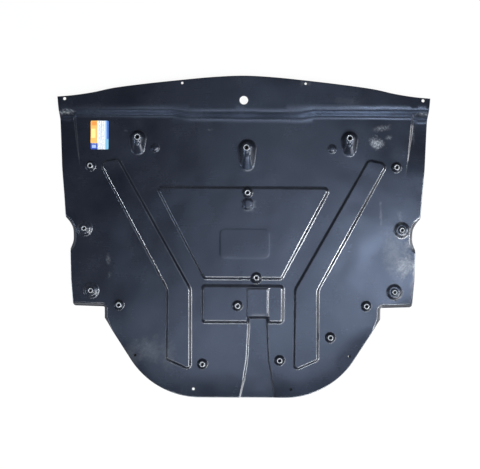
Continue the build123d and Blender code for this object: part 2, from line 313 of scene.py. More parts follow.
def wall_line(x):
    """The front wall at x: y of its top edge, and how far it comes out for each mm it goes down."""
    share = np.clip((abs(x) - WALL_BEND[0]) / (WALL_BEND[1] - WALL_BEND[0]), 0, 1)
    share = share * share * (3 - 2 * share)
    top = WALL_TOP[0] + (WALL_TOP[1] - WALL_TOP[0]) * share
    return top, WALL_SLOPE[0] + (WALL_SLOPE[1] - WALL_SLOPE[0]) * share


RIB_LOOPS = [rounded_loop(RIB, RIB_ROUNDS), rounded_loop(mirrored(RIB), RIB_ROUNDS[::-1])]
PANEL_LOOP = rounded_loop(PANEL, [10] * 4)
PAD_LOOP = box_loop(*PAD, 14)
SMALL_LOOP = box_loop(*SMALL_PANEL, 12)
RAISED_LOOP = box_loop(*RAISED_STEP, 1)
BUMP_LOOP = box_loop(*BUMP, 12)
CHANNEL_LOOP = np.array(CHANNEL_FLOOR, float)
BODY_LOOP = rounded_loop(BODY_FOOT + mirrored(BODY_FOOT), BODY_FOOT_ROUNDS + BODY_FOOT_ROUNDS[::-1])
EDGE_LOOP = sheet_loop()
HOLES = (PLAIN_HOLES + [(x, y, DROP_HOLE_R) for x, y in DROP_HOLES]
         + [(x, y, CONE_HOLE_R) for x, y, _ in CONES] + [(x, y, STEPPED_HOLE_R) for x, y in STEPPED])


def plan_lines():
    """The lines that the sheet's facets follow: edge, holes, and both sides of every wall and soft bend.

    Each comes with how it closes: True all round, False open, None all round but for its gaps.
    """
    wall_steps = np.linspace(-6, 6, 15)
    families = [(loop, wall_steps, 9.0) for loop in (*RIB_LOOPS, PANEL_LOOP)] + [
        (PAD_LOOP, (-3, -1.5, 0, 1.5, 3), 7.0),
        (SMALL_LOOP, (-9, -8, -7.2, -6.4, -5.6, -4.8, -3.4, -2.2, -1.3, -0.5, 0.3, 1.1, 2, 3), 8.0),
        (RAISED_LOOP, (-10, -8.3, -7.2, -6.4, -5.6, -4.8, -3.8, -2.2), 8.0),
        (BUMP_LOOP, (-8, -6, -4.5, -3, -1.5, 0, 1.5), 4.0),
        (CHANNEL_LOOP, (-3.2, -2, -1, 0, 1, 2.2, 3.4, 4.4, 5.4, 6.4, 7.6, 9, 11, 13, 15, 17), 9.0),
        (BODY_LOOP, (1.5, 0, -1.5, -3.3, -5, -6.7, -8.2, -10), 7.0)]
    lines = [(densify(EDGE_LOOP, 9.0), True)]
    lines += [(offset_loop(EDGE_LOOP, out, 9.0), None) for out in (-0.4, -0.9, -1.5, -2.2)]
    lines += [(circle(*hole, 32), True) for hole in HOLES]
    lines += [(offset_loop(loop, out, spacing), None) for loop, outs, spacing in families for out in outs]
    x = np.unique(np.r_[np.linspace(-526, 526, 90), np.linspace(-210, -145, 14), np.linspace(145, 210, 14)])
    top, slope = wall_line(x)
    lines += [(np.c_[x, top - slope * down], False) for down in
              (-4.5, -3.2, -2, -1, 0, 1, 2, 3.4, 5, 7, 9, 10.3, 11.5, 12.7, 13.9, 15.2, 16.6, 18)]
    x = np.linspace(4, 84, 17)
    lines += [(np.c_[x, np.full(17, CHANNEL_HEAD + y)], False) for y in
              (-2.6, -1.2, 0, 1.2, 2.4, 3.6, 4.9, 6.3, 7.8)]
    rings = [(x, y, DROP_HOLE_R + more, 32) for x, y in DROP_HOLES for more in (0.9, 1.8, 2.3, 2.8, 3.4)]
    for x, y, ground in CONES:
        foot, tip = CONE_FOOT + CONE_SPREAD * ground, CONE_TOP + CONE_SPREAD * (CONE_SINK if ground else 0)
        rings += [(x, y, r, 36) for r in (foot + 3, foot + 1.5, *np.linspace(foot, tip, 7),
                                          7.3, 6.8, 6.3, 5.8, 5.3, 4.7, CONE_HOLE_R + 0.5)]
    rings += [(x, y, r, 44) for x, y in STEPPED for r in (
        25, 23, 21.5, 20, 18.5, 17, 15.5, 14.2, 13, 11.6, 10.2, 8.8, 7.5, 6.6, 6.1, 5.6, 5.1, 4.5, 3.9)]
    rings += [(x, y, r, 30) for x, y in BUTTONS for r in (14.5, 13, 12, 10.8, 9.6, 8.5, 7.2, 5.5, 2.5)]
    lines += [(circle(*ring), True) for ring in rings]
    return lines + [(drop_loop(drop, level), True) for drop in DROPS for level in (
        -0.16, -0.08, -0.03, 0.03, 0.1, 0.22, 0.36, 0.5, 0.64, 0.78, 0.88, 0.95, 1.0, 1.06, 1.14)]


def plan_points():
    """Loose points between the lines, so that the sheet can wave a little."""
    step, made = 13.0, []
    for row, y in enumerate(np.arange(-460, 461, step * 0.866)):
        x = np.arange(-530 + (row % 2) * step / 2, 531, step)
        made.append(np.c_[x, np.full(len(x), y)])
    return np.vstack(made)


def lift_at(at, form):
    """Height of the sheet's upper face over the floor, in millimetres."""
    body, low, flange, soft, rib, panel = np.array([
        form.body, form.body - form.edge_drop, form.body + form.flange_rise, form.softness, form.rib_height,
        form.panel_height]) / MM
    x, y = at[:, 0], at[:, 1]
    slab = low + inside_distance(BODY_LOOP, at) / ROLL_SLOPE
    ramp = low + (RAMP[0] - y) * (body - low) / (RAMP[0] - RAMP[1])
    low_level = np.where(y > 120, soft_max(low, ramp, 0.8), low)
    z = soft_min(soft_max(slab, low_level, soft), body, soft)
    top, slope = wall_line(x)
    z = soft_max(z, soft_min(flange + (y - top) / slope, flange, WALL_BLEND), WALL_BLEND)

    def raise_to(z, rise, height, blend=soft, crown=None):
        return soft_max(z, body + soft_min(rise, height, crown or blend), blend)

    def dish(z, r, hole, width):
        return z - DISH * np.clip(1 - (r - hole) / width, 0, 1)

    for loop in RIB_LOOPS:
        z = raise_to(z, (inside_distance(loop, at) / RIB_RUN + 0.5) * rib, rib)
    z = raise_to(z, (inside_distance(PANEL_LOOP, at) / PANEL_RUN + 0.5) * panel, panel)
    pad = inside_distance(PAD_LOOP, at) / PAD_RUN + 0.5
    z = np.where(pad > -1, z + PAD_HEIGHT * soft_min(soft_max(pad, 0, 0.4), 1, 0.4), z)
    z = raise_to(z, inside_distance(SMALL_LOOP, at) / SMALL_SLOPE, panel)
    z = raise_to(z, inside_distance(RAISED_LOOP, at) / STEP_SLOPE, form.step_height / MM, 1.4)
    z = raise_to(z, panel + inside_distance(BUMP_LOOP, at), panel + BUMP_HEIGHT, 1.6, 4.0)
    for bx, by in BUTTONS:
        rise = (BUTTON_FOOT - np.hypot(x - bx, y - by)) * BUTTON_HEIGHT / BUTTON_RUN
        z = raise_to(z, rise, BUTTON_HEIGHT, 1.6, 7.0)
    for bx, by, ground in CONES:
        r = np.hypot(x - bx, y - by)
        tall = ground + CONE_HEIGHT - (CONE_SINK if ground else 0)
        z = raise_to(z, (CONE_FOOT + CONE_SPREAD * ground - r) / CONE_SPREAD, tall, 1.6, 5.0)
        z = dish(z, r, CONE_HOLE_R, DISH_WIDTH)
    for bx, by in STEPPED:
        r = np.hypot(x - bx, y - by)
        z = raise_to(z, STEPPED_FOOT - r, STEPPED_SHOULDER, 1.6)
        z = raise_to(z, (STEPPED_INNER - r) * STEPPED_HEIGHT / STEPPED_INNER_RUN, STEPPED_HEIGHT, 1.6, 4.0)
        z = dish(z, r, STEPPED_HOLE_R, STEPPED_DISH_WIDTH)
    for drop in DROPS:
        z = raise_to(z, drop_rise(at, drop), drop[7], 2.4, 8.0)
    for bx, by in DROP_HOLES:
        z = dish(z, np.hypot(x - bx, y - by), DROP_HOLE_R, DISH_WIDTH)
    floor = body - form.channel_depth / MM
    channel = soft_max(floor - inside_distance(CHANNEL_LOOP, at) / CHANNEL_SLOPE, floor, soft)
    z = soft_min(z, soft_max(channel, floor + (y - CHANNEL_HEAD) / HEAD_SLOPE, 1.4), soft)
    flat = np.clip((z - low) / (body - low), 0, 1)
    calm = flat * np.clip((np.hypot(x - LABEL_PLACE[0], y - LABEL_PLACE[1]) - 50) / 60, 0, 1)
    wave = (np.sin(x / 61 + 1.3) * np.sin(y / 83 + 0.4) + 0.7 * np.sin(x / 37 - y / 45 + 2.1)
            + 0.5 * np.sin(x / 23 + y / 71) * np.sin(y / 29 + 0.7)) / 2.2
    within = inside_distance(EDGE_LOOP, at)
    droop = flat * np.clip((75 - within) / 75, 0, 1) ** 2 * np.clip((-250 - y) / 90, 0, 1)
    z = z - form.waviness / MM * (0.5 + 0.5 * wave) * calm - form.droop / MM * droop
    return z - EDGE_ROUND * np.clip(1 - within / EDGE_ROUND, 0, 1) ** 2 / 2


def bend_at(at, form, reach=1.4):
    """How sharply the upper face bends: above 0 in a hollow, below 0 on a ridge."""
    around = sum(lift_at(at + step, form) for step in ([reach, 0], [-reach, 0], [0, reach], [0, -reach]))
    return (around - 4 * lift_at(at, form)) / reach ** 2


def plan_mesh(form):
    """Triangles in plan that follow the plan's lines: points in millimetres, faces."""
    points, edges, total = [], [], 0
    for line, closed in plan_lines():
        if closed is None:
            line = line[inside_distance(EDGE_LOOP, line) > -8]
        count = len(line)
        if count < 2:
            continue
        points.append(line)
        follow = np.arange(count) if closed is not False else np.arange(count - 1)
        gap = np.linalg.norm(line[follow] - line[(follow + 1) % count], axis=1)
        follow = follow[gap < (15 if closed is None else 1e9)]
        edges += [(total + a, total + (a + 1) % count) for a in follow]
        total += count
    loose = plan_points()
    loose = loose[abs(bend_at(loose, form)) < 0.003]
    points.append(loose)
    flat = [Vector(p) for p in np.vstack(points)]
    found, _, faces, *_ = delaunay_2d_cdt(flat, edges, [], 0, 1e-3, False)
    at = np.array([tuple(v) for v in found])
    tris = np.array([f for f in faces if len(f) == 3])
    middle = at[tris].mean(axis=1)
    keep = inside_distance(EDGE_LOOP, middle) > 0
    for x, y, r in HOLES:
        keep &= np.hypot(middle[:, 0] - x, middle[:, 1] - y) > r * cos(pi / 32)
    tris = tris[keep]
    used, tris = np.unique(tris, return_inverse=True)
    at, tris = at[used], tris.reshape(-1, 3)
    a, b, c = at[tris[:, 0]], at[tris[:, 1]], at[tris[:, 2]]
    turn = (b - a)[:, 0] * (c - a)[:, 1] - (b - a)[:, 1] * (c - a)[:, 0]
    tris[turn < 0] = tris[turn < 0][:, ::-1]
    return at, tris[abs(turn) > 1e-4]


def gloss_at(at, lean, bend):
    """How much glossier than the flats each place is: most along bends that face the right and the rear."""
    gloss = np.clip((np.maximum(-bend, 0.8 * bend) * BEND_GAIN - 0.04) / 0.32, 0, 1)
    facing = np.degrees(np.arctan2(-lean[:, 1], -lean[:, 0]))
    towards = np.clip((65 - abs(facing - LIT_FACING)) / 20, 0, 1)
    rubbed = (abs(inside_distance(RIB_LOOPS[1], at)) < 6) & (abs(facing - RUBBED_FACING) < 16) & (bend < 0)
    gloss *= np.where(rubbed, 1, 0.08 + 0.92 * towards)
    gloss[at[:, 1] > FRONT_WALL_FROM] = 0
    gloss[(abs(at[:, 1] - CHANNEL_HEAD) < 14) & (abs(at[:, 0] - RAISED_STEP[0]) < 31)] *= 0.2
    gloss[abs(inside_distance(PAD_LOOP, at)) < 4] *= 0.3
    calmed = [(x, y, 27, 0.6) for x, y in STEPPED] + [(x, y, 17, 0.25) for x, y in BUTTONS]
    calmed += [(*BUMP[:2], 24, 0.12)] + [(drop[0], drop[1] - 12, 48, 0.35) for drop in DROPS]
    for x, y, reach, share in calmed:
        gloss[np.hypot(at[:, 0] - x, at[:, 1] - y) < reach] *= share
    return gloss


def sheet_plan_object(form):
    """A flat mesh of the sheet in plan that carries its heights, and how it bends, as attributes."""
    at, tris = plan_mesh(form)
    reach = 1.0
    z = lift_at(at, form)
    east, west = lift_at(at + [reach, 0], form), lift_at(at - [reach, 0], form)
    north, south = lift_at(at + [0, reach], form), lift_at(at - [0, reach], form)
    lean = np.c_[(east - west) / (2 * reach), (north - south) / (2 * reach), np.zeros(len(at))]
    steep = np.sqrt(1 + (lean ** 2).sum(axis=1))
    bend = (east + west + north + south - 4 * z) / reach ** 2
    mesh = bpy.data.meshes.new("sheet_plan")
    mesh.from_pydata([(x * MM, y * MM, 0) for x, y in at], [], [tuple(map(int, t)) for t in tris])
    # Ring masks around the screw holes, where a pale highlight is painted on the crests
    rim = np.zeros(len(at))
    for x, y, radius in HOLES:
        if radius in RIM_HIGHLIGHTS:
            apart = np.hypot(at[:, 0] - x, at[:, 1] - y) - RIM_HIGHLIGHTS[radius]
            rim = np.maximum(rim, np.exp(-(apart / RIM_HIGHLIGHT_WIDTH) ** 2))
    gloss = gloss_at(at, lean, bend)
    ridge, hollow = (np.clip(side * bend * BEND_GAIN, 0, 1) for side in (-1, 1))
    for name, values in (("lift", z * MM), ("steep", steep), ("rim", rim), ("gloss", gloss),
                         ("ridge", ridge), ("hollow", hollow)):
        held = mesh.attributes.new(name, "FLOAT", "POINT")
        held.data.foreach_set("value", np.asarray(values, np.float32))
    held = mesh.attributes.new("lean", "FLOAT_VECTOR", "POINT")
    held.data.foreach_set("vector", lean.astype(np.float32).ravel())
    mesh.validate()
    return new_object("sheet_plan", mesh)


def new_object(name, data):
    """Adds an object to the scene."""
    made = bpy.data.objects.new(name, data)
    bpy.context.scene.collection.objects.link(made)
    return made


# Node trees

def add(tree, kind, inputs=None, **settings):
    """Adds a node with its settings; inputs take plain values or other nodes' sockets."""
    made = tree.nodes.new(kind)
    for name, value in settings.items():
        setattr(made, name, value)
    for key, value in (inputs or {}).items():
        if isinstance(value, bpy.types.NodeSocket):
            tree.links.new(value, made.inputs[key])
        else:
            made.inputs[key].default_value = value
    return made


def math_of(tree, operation, a, b=0.0, c=0.0, clamp=False):
    """Output of a Math node."""
    return add(tree, "ShaderNodeMath", {0: a, 1: b, 2: c}, operation=operation, use_clamp=clamp).outputs[0]


def mix_of(tree, factor, a, b):
    """Output of a colour Mix node."""
    return add(tree, "ShaderNodeMix", {0: factor, 6: a, 7: b}, data_type="RGBA").outputs[2]


def ramp_of(tree, value, low, high):
    """Value spread from low..high to 0..1, held at both ends."""
    return add(tree, "ShaderNodeMapRange", {"Value": value, "From Min": low, "From Max": high}).outputs[0]


def noise_of(tree, vector, scale, detail, roughness=0.5):
    """Output of a Noise Texture."""
    return add(tree, "ShaderNodeTexNoise", {"Vector": vector, "Scale": scale, "Detail": detail,
                                            "Roughness": roughness}).outputs[0]


def bump_of(tree, height, distance, strength, normal=None):
    """Normal that a Bump node gives."""
    made = add(tree, "ShaderNodeBump", {"Height": height, "Distance": distance, "Strength": strength})
    if normal:
        tree.links.new(normal, made.inputs["Normal"])
    return made.outputs[0]


def attribute_of(tree, name):
    """A value that the mesh carries at each point."""
    return add(tree, "ShaderNodeAttribute", attribute_name=name).outputs["Fac"]


def field_of(tree, place, middle, half):
    """1 inside a rectangle with this middle and these half sizes, 0 outside it."""
    within = []
    for axis in (0, 1):
        apart = math_of(tree, "ABSOLUTE", math_of(tree, "SUBTRACT", place.outputs[axis], middle[axis]))
        within.append(math_of(tree, "LESS_THAN", apart, half[axis]))
    return math_of(tree, "MULTIPLY", *within)


def group_of(name, inputs, outputs, kind="ShaderNodeTree", gives="Float"):
    """A new node group: returns the tree, the sockets it is given and the sockets it hands on.

    Each input has its default, or the kind of a socket that needs none.
    """
    tree = bpy.data.node_groups.new(name, kind)
    for label, value in inputs.items():
        socket = "Float" if isinstance(value, float) else value
        made = tree.interface.new_socket(label, in_out="INPUT", socket_type="NodeSocket" + socket)
        if socket == "Float":
            made.default_value = value
    for label in outputs:
        tree.interface.new_socket(label, in_out="OUTPUT", socket_type="NodeSocket" + gives)
    given, result = tree.nodes.new("NodeGroupInput"), tree.nodes.new("NodeGroupOutput")
    return tree, given.outputs[:len(inputs)], result.inputs[:len(outputs)]


def hand_on(tree, sockets, *values):
    """Links a group's results to its output sockets, and returns the tree."""
    for socket, value in zip(sockets, values):
        tree.links.new(value, socket)
    return tree


def effect_of(tree, build, values):
    """Places a shared effect's node group, which its function builds the first time."""
    name = build.__name__.replace("_", " ").capitalize()
    group = bpy.data.node_groups.get(name) or build(name)
    return add(tree, "ShaderNodeGroup", values, node_tree=group)


def form_sheet_tree():
    """Lifts the plan to its heights, gives it the wall, closes the edge and lays the material on."""
    tree, (plan, wall, crease_angle, material), result = group_of(
        "Form the sheet", {"Geometry": "Geometry", "Wall": 0.003, "Crease angle": CREASE_ANGLE,
                           "Material": "Material"}, ["Geometry"], "GeometryNodeTree", "Geometry")
    lift, steep = (add(tree, "GeometryNodeInputNamedAttribute", {"Name": name},
                       data_type="FLOAT").outputs[0] for name in ("lift", "steep"))
    here = add(tree, "ShaderNodeSeparateXYZ", {0: add(tree, "GeometryNodeInputPosition").outputs[0]})
    under = math_of(tree, "SUBTRACT", lift, math_of(tree, "MULTIPLY", wall, steep))
    under = math_of(tree, "MAXIMUM", under, 0.0)
    top, bottom = (add(tree, "ShaderNodeCombineXYZ", {0: here.outputs[0], 1: here.outputs[1],
                                                      2: level}).outputs[0] for level in (lift, under))
    upper = add(tree, "GeometryNodeSetPosition", {"Geometry": plan, "Position": top}).outputs[0]
    down = add(tree, "ShaderNodeCombineXYZ", {2: -1.0}).outputs[0]
    drawn = add(tree, "GeometryNodeExtrudeMesh", {"Mesh": upper, "Offset": down, "Offset Scale": 0.002,
                                                  "Individual": False}, mode="FACES").outputs
    lower = add(tree, "GeometryNodeSetPosition", {"Geometry": drawn["Mesh"], "Selection": drawn["Top"],
                                                  "Position": bottom}).outputs[0]
    turned = add(tree, "GeometryNodeFlipFaces", {"Mesh": lower}).outputs[0]
    both = add(tree, "GeometryNodeJoinGeometry")
    for part in (upper, turned):
        tree.links.new(part, both.inputs[0])
    angle = add(tree, "GeometryNodeInputMeshEdgeAngle").outputs[0]
    crease = math_of(tree, "GREATER_THAN", angle, crease_angle)
    made = both.outputs[0]
    for kind, inputs, settings in (
            ("MergeByDistance", {"Distance": 1e-6}, {}),
            ("SetShadeSmooth", {"Shade Smooth": True}, {"domain": "FACE"}),
            ("SetShadeSmooth", {"Selection": crease, "Shade Smooth": False}, {"domain": "EDGE"}),
            ("RealizeInstances", {}, {}), ("SetMaterial", {"Material": material}, {})):
        made = add(tree, "GeometryNode" + kind, {"Geometry": made, **inputs}, **settings).outputs[0]
    return hand_on(tree, result, made)


def apply_tree(source, tree, values, name):
    """Runs a Geometry Nodes tree on an object and keeps the result as a plain mesh object."""
    modifier = source.modifiers.new(tree.name, "NODES")
    modifier.node_group = tree
    for item in tree.interface.items_tree:
        if item.in_out == "INPUT" and item.name in values:
            modifier[item.identifier] = values[item.name]
    source.update_tag()
    seen = bpy.context.evaluated_depsgraph_get()
    mesh = bpy.data.meshes.new_from_object(source.evaluated_get(seen))
    mesh.name = name
    bpy.data.objects.remove(source)
    if not len(mesh.polygons):
        raise RuntimeError(f"{name} came out empty")
    return new_object(name, mesh)


def lay_normals(sheet):
    """Gives the sheet the normals of its height formula, so that gloss runs clean along the bends."""
    mesh = sheet.data
    lean, normal = np.empty(3 * len(mesh.vertices)), np.empty(3 * len(mesh.polygons))
    corner, total = np.empty(len(mesh.loops), int), np.empty(len(mesh.polygons), int)
    mesh.attributes["lean"].data.foreach_get("vector", lean)
    mesh.polygons.foreach_get("normal", normal)
    mesh.polygons.foreach_get("loop_total", total)
    mesh.loops.foreach_get("vertex_index", corner)
    lean, normal = lean.reshape(-1, 3)[corner], np.repeat(normal.reshape(-1, 3), total, axis=0)
    drawn = np.c_[-lean[:, 0], -lean[:, 1], np.ones(len(lean))] * np.sign(normal[:, 2:])
    drawn /= np.linalg.norm(drawn, axis=1)[:, None] + 1e-9
    flat = (abs(normal[:, 2]) < 0.05) | ((normal * drawn).sum(axis=1) < 0.8)
    mesh.normals_split_custom_set(np.where(flat[:, None], normal, drawn).tolist())


# Finishes

def moulded_grain(name):
    """Fine pebbled surface, slow ripple, cloudy tone and faint streaks of a formed plastic or paper."""
    tree, (vector, grain, ripple, streaks), result = group_of(
        name, {"Vector": "Vector", "Grain per metre": 900.0, "Ripple per metre": 13.0,
               "Streaks per metre": 420.0}, ["Grain", "Ripple", "Tone", "Streaks"])
    drawn = add(tree, "ShaderNodeMapping", {"Vector": vector, "Scale": (0.035, 1.0, 0.2)}).outputs[0]
    return hand_on(tree, result, noise_of(tree, vector, grain, 2.0), noise_of(tree, vector, ripple, 0.6),
                   noise_of(tree, vector, 7.0, 4.0), noise_of(tree, drawn, streaks, 3.0))


def dust_and_wear(name):
    """Masks for dust that gathers in hollows, and for ridges rubbed pale."""
    tree, (vector, hollow, ridge, dust, wear), result = group_of(
        name, {"Vector": "Vector", "Hollow": 0.0, "Ridge": 0.0, "Dust": 0.5, "Wear": 0.5}, ["Dust", "Wear"])
    cloud = ramp_of(tree, noise_of(tree, vector, 11.0, 7.0, 0.65), 0.42, 0.75)
    speck = ramp_of(tree, noise_of(tree, vector, 240.0, 4.0), 0.3, 0.75)
    lying = math_of(tree, "MULTIPLY_ADD", hollow, 0.5, math_of(tree, "MULTIPLY", cloud, speck))
    rubbed = math_of(tree, "MULTIPLY", ridge, ramp_of(tree, noise_of(tree, vector, 55.0, 5.0), 0.4, 0.66))
    return hand_on(tree, result, math_of(tree, "MULTIPLY", lying, dust, clamp=True),
                   math_of(tree, "MULTIPLY", rubbed, wear, clamp=True))


def scuff_or_highlight_patch(name):
    """Mask of one scuffed patch or one patch of painted highlight: a ragged blot broken up into specks and
    short scratches.
    """
    tree, (vector, middle, turn, half_size, strength, breakup), result = group_of(
        name, {"Vector": "Vector", "Middle": "Vector", "Turn": 0.0, "Half size": "Vector", "Strength": 1.0,
               "Breakup": 0.8}, ["Mask"])
    moved = add(tree, "ShaderNodeVectorMath", {0: vector, 1: middle}, operation="SUBTRACT").outputs[0]
    turned = add(tree, "ShaderNodeVectorRotate", {"Vector": moved, "Angle": turn}, rotation_type="Z_AXIS")
    unit = add(tree, "ShaderNodeVectorMath", {0: turned.outputs[0], 1: half_size}, operation="DIVIDE")
    length = add(tree, "ShaderNodeVectorMath", {0: unit.outputs[0]}, operation="LENGTH").outputs["Value"]
    ragged = math_of(tree, "MULTIPLY_ADD", noise_of(tree, vector, 55.0, 8.0, 0.75), -3.0,
                     math_of(tree, "ADD", length, 1.5))
    speck = ramp_of(tree, noise_of(tree, vector, 190.0, 8.0, 0.7), 0.46, 0.62)
    broken = mix_of(tree, breakup, (1, 1, 1, 1), speck)
    mask = math_of(tree, "MULTIPLY", broken, ramp_of(tree, ragged, 1.0, 0.1))
    return hand_on(tree, result, math_of(tree, "MULTIPLY", mask, strength, clamp=True))


def new_material(name):
    """Material with an empty tree and its surface shader: returns the material, tree and shader."""
    made = bpy.data.materials.new(name)
    made.use_nodes = True
    tree = made.node_tree
    tree.nodes.clear()
    shader = add(tree, "ShaderNodeBsdfPrincipled")
    end = add(tree, "ShaderNodeOutputMaterial")
    tree.links.new(shader.outputs[0], end.inputs[0])
    return made, tree, shader


# Marks on the plastic: scuffs, and pale patches and streaks painted as highlight near the right edge (those
# from x 386 to 470 between y -76 and 62): x, y, half length, half width in millimetres, turn in degrees,
# strength, breakup
SCUFFS_AND_HIGHLIGHTS = [(373, 264, 24, 17, -35, 1.0, 0.8), (386, 306, 30, 11, 8, 0.35, 0.8),
          (407, 281, 11, 8, 0, 0.4, 0.8), (-377, -67, 8, 20, 5, 0.25, 0.9),
          (-372, -108, 6, 14, 0, 0.15, 0.9), (503, 347, 24, 7, 0, 0.5, 0.9),
          (-500, 347, 34, 9, 0, 0.8, 0.9), (474, 300, 5, 40, 3, 0.3, 0.9),
          (470, -20, 22, 24, 0, 0.5, 0.5), (453, -76, 30, 48, -20, 0.75, 0.5),
          (428, -50, 40, 80, 10, 0.26, 0.4), (285, 380, 60, 16, 0, 0.05, 0.5),
          (-262, -318, 60, 42, 0, 0.09, 0.1), (-310, -330, 40, 36, 20, 0.07, 0.1),
          (-210, -330, 30, 50, 0, 0.07, 0.1), (-95, 300, 12, 4, 8, 0.15, 0.9),
          (-330, 296, 8, 3, -15, 0.2, 0.9), (386, 62, 5, 48, 2, 0.16, 0.4),
          (402, -20, 7, 58, -4, 0.18, 0.4), (440, 52, 8, 30, 6, 0.14, 0.4)]
MARK_LEVEL, MARK_HALF_HEIGHT = 0.011, 0.05


def plastic_material(finish):
    """Semi-gloss black plastic with a blue cast, dusty in its hollows, rubbed on its ridges and scuffed, with
    highlight patches painted near its right edge and highlight rings painted around its screw holes.
    """
    made, tree, shader = new_material("black_plastic")
    place = add(tree, "ShaderNodeTexCoord").outputs["Object"]
    grain = effect_of(tree, moulded_grain, {"Vector": place}).outputs
    wear = effect_of(tree, dust_and_wear, {
        "Vector": place, "Hollow": attribute_of(tree, "hollow"), "Ridge": attribute_of(tree, "ridge"),
        "Dust": finish.dust, "Wear": finish.wear}).outputs
    scuff_and_highlight_marks = 0.0
    # Scuffs, and pale patches painted as highlight and sheen streaks near the right edge
    for x, y, half_length, half_width, turn, strength, breakup in SCUFFS_AND_HIGHLIGHTS:
        patch = effect_of(tree, scuff_or_highlight_patch, {
            "Vector": place, "Middle": (x * MM, y * MM, MARK_LEVEL), "Turn": -radians(turn),
            "Half size": (half_length * MM, half_width * MM, MARK_HALF_HEIGHT),
            "Strength": strength, "Breakup": breakup})
        scuff_and_highlight_marks = math_of(tree, "MAXIMUM", scuff_and_highlight_marks, patch.outputs[0])
    streaked = math_of(tree, "SUBTRACT", grain["Streaks"], 0.5)
    tone = math_of(tree, "MULTIPLY_ADD", streaked, 0.3, ramp_of(tree, grain["Tone"], 0.3, 0.7), clamp=True)
    # A pale ring painted around each screw hole as a highlight on its crest
    painted_rim_highlight = math_of(tree, "MULTIPLY", attribute_of(tree, "rim"), ramp_of(tree, grain["Grain"], 0.3, 0.55))
    dark = tuple(c * 0.75 for c in finish.plastic_colour)
    pale = tuple(min(1.0, c * 1.2) for c in finish.plastic_colour)
    colour = mix_of(tree, tone, (*dark, 1.0), (*pale, 1.0))
    for mask, share, paint in (
            (wear["Dust"], 1.0, finish.dust_colour), (wear["Wear"], 0.3, finish.worn_and_highlight_colour),
            (scuff_and_highlight_marks, finish.scuffs, finish.worn_and_highlight_colour), (painted_rim_highlight, finish.rims, finish.rim_highlight_colour)):
        colour = mix_of(tree, math_of(tree, "MULTIPLY", mask, share), colour, (*paint, 1.0))
    rough = math_of(tree, "MULTIPLY_ADD", tone, 0.08, finish.roughness - 0.04)
    rough = math_of(tree, "MULTIPLY_ADD", wear["Dust"], 0.25, rough)
    rough = math_of(tree, "MULTIPLY_ADD", scuff_and_highlight_marks, 0.2, rough, clamp=True)
    gloss = math_of(tree, "MULTIPLY", attribute_of(tree, "gloss"), finish.bend_gloss)
    normal = bump_of(tree, grain["Ripple"], finish.ripple, 1.0)
    normal = bump_of(tree, grain["Streaks"], 0.00005, 0.10, normal)
    normal = bump_of(tree, grain["Grain"], 0.00006, 0.12, normal)
    results = {"Base Color": colour, "Roughness": rough, "Coat Weight": gloss, "Normal": normal}
    for name, value in results.items():
        tree.links.new(value, shader.inputs[name])
    shader.inputs["Specular Tint"].default_value = (*finish.sheen_colour, 1.0)
    shader.inputs["IOR"].default_value = 1.45
    shader.inputs["Coat Roughness"].default_value = 0.15
    shader.inputs["Coat IOR"].default_value = 2.2
    return made


# Fields of colour on the label: x from, x to, y from, y to as shares from its lower left corner, and colour
LABEL_FIELDS = [(0.0, 0.37, 0.22, 1.0, (0.90, 0.45, 0.11)), (0.03, 0.27, 0.40, 0.72, (0.96, 0.72, 0.24)),
                (0.05, 0.34, 0.84, 0.97, (0.86, 0.27, 0.05)), (0.0, 0.40, 0.0, 0.21, (0.02, 0.06, 0.34)),
                (0.07, 0.30, 0.05, 0.16, (0.35, 0.45, 0.72)), (0.88, 1.0, 0.0, 1.0, (0.05, 0.17, 0.55)),
                (0.80, 0.88, 0.0, 1.0, (0.42, 0.62, 0.88)), (0.84, 1.0, 0.0, 0.36, (0.16, 0.42, 0.62))]
LABEL_ROWS, INK, SOIL = 9.0, (0.10, 0.13, 0.26, 1.0), (0.42, 0.41, 0.39, 1.0)


def label_material(finish, low, high):
    """Printed paper with plain fields of colour and faint grey rows, a little soiled."""
    made, tree, shader = new_material("paper_label")
    place = add(tree, "ShaderNodeTexCoord").outputs["Object"]
    size = [high[0] - low[0], high[1] - low[1]]
    share = add(tree, "ShaderNodeMapping", {
        "Vector": place, "Location": (-low[0] / size[0], -low[1] / size[1], 0),
        "Scale": (1 / size[0], 1 / size[1], 1)}).outputs[0]
    across = add(tree, "ShaderNodeSeparateXYZ", {0: share})
    rows = math_of(tree, "FRACT", math_of(tree, "MULTIPLY", across.outputs[0], LABEL_ROWS))
    blots = ramp_of(tree, noise_of(tree, share, 26.0, 2.0), 0.36, 0.46)
    strokes = math_of(tree, "MULTIPLY", math_of(tree, "LESS_THAN", rows, 0.46), blots)
    colour = mix_of(tree, math_of(tree, "MULTIPLY", strokes, 0.85), (*finish.paper_colour, 1.0), INK)
    for x0, x1, y0, y1, paint in LABEL_FIELDS:
        field = field_of(tree, across, ((x0 + x1) / 2, (y0 + y1) / 2), ((x1 - x0) / 2, (y1 - y0) / 2))
        colour = mix_of(tree, field, colour, (*paint, 1.0))
    grain = effect_of(tree, moulded_grain, {"Vector": place}).outputs
    wear = effect_of(tree, dust_and_wear, {"Vector": place, "Dust": 0.12}).outputs
    for name, value in (("Base Color", mix_of(tree, wear["Dust"], colour, SOIL)),
                        ("Roughness", math_of(tree, "MULTIPLY_ADD", grain["Tone"], 0.2, 0.28)),
                        ("Normal", bump_of(tree, grain["Grain"], 0.0001, 0.4))):
        tree.links.new(value, shader.inputs[name])
    return made


# Floor patches painted dark as shade under the sheet and under some holes, where only shade falls: middle x,
# y, half width and half depth in metres
PAINTED_SHADE_PATCHES = [(0.0, 0.06, 0.455, 0.235), (0.0, -0.26, 0.27, 0.12), (0.0, -0.20, 0.37, 0.04),
          (-0.302, -0.3345, 0.008, 0.008), (0.3036, -0.3345, 0.005, 0.008), (0.138, -0.427, 0.005, 0.006)]


